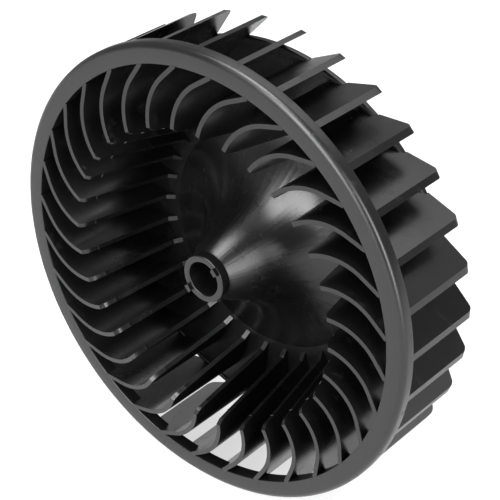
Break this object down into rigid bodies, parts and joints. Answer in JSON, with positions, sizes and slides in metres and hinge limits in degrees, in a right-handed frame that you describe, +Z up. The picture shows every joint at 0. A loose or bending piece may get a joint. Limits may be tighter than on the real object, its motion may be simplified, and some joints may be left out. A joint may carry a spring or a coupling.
{
  "type": "centrifugal blower wheel",
  "caption": "Black moulded centrifugal fan wheel with an inlet ring, curved blades on a back plate and a flared hub with a round shaft bore.",
  "frame": {"origin": "on the wheel's axis, midway between the blade tips at the inlet and the back of the rim, inside the shaft bore", "axes": "+Y along the axis from the inlet to the motor side; the inlet faces -Y; +Z is up with the axis level"},
  "size_m": [0.2, 0.0494, 0.2],
  "materials": {
    "ring": "satin black moulded plastic with light scuffs",
    "blades": "satin black moulded plastic",
    "plate": "fine-textured black moulded plastic",
    "hub": "semi-gloss black moulded plastic"
  },
  "bodies": {
    "root": {"inlet_ring": "ring", "back_plate": "plate", "plate_rim": "ring", "hub_cone": "hub", "hub_sleeve": "hub", "hub_lug_1": "hub", "hub_lug_2": "hub", "blade_01": "blades", "blade_02": "blades", "blade_03": "blades", "blade_04": "blades", "blade_05": "blades", "blade_06": "blades", "blade_07": "blades", "blade_08": "blades", "blade_09": "blades", "blade_10": "blades", "blade_11": "blades", "blade_12": "blades", "blade_13": "blades", "blade_14": "blades", "blade_15": "blades", "blade_16": "blades", "blade_17": "blades", "blade_18": "blades", "blade_19": "blades", "blade_20": "blades", "blade_21": "blades", "blade_22": "blades", "blade_23": "blades", "blade_24": "blades", "blade_25": "blades", "blade_26": "blades", "blade_27": "blades", "blade_28": "blades", "blade_29": "blades", "blade_30": "blades", "blade_31": "blades", "blade_32": "blades"}
  },
  "joints": []
}
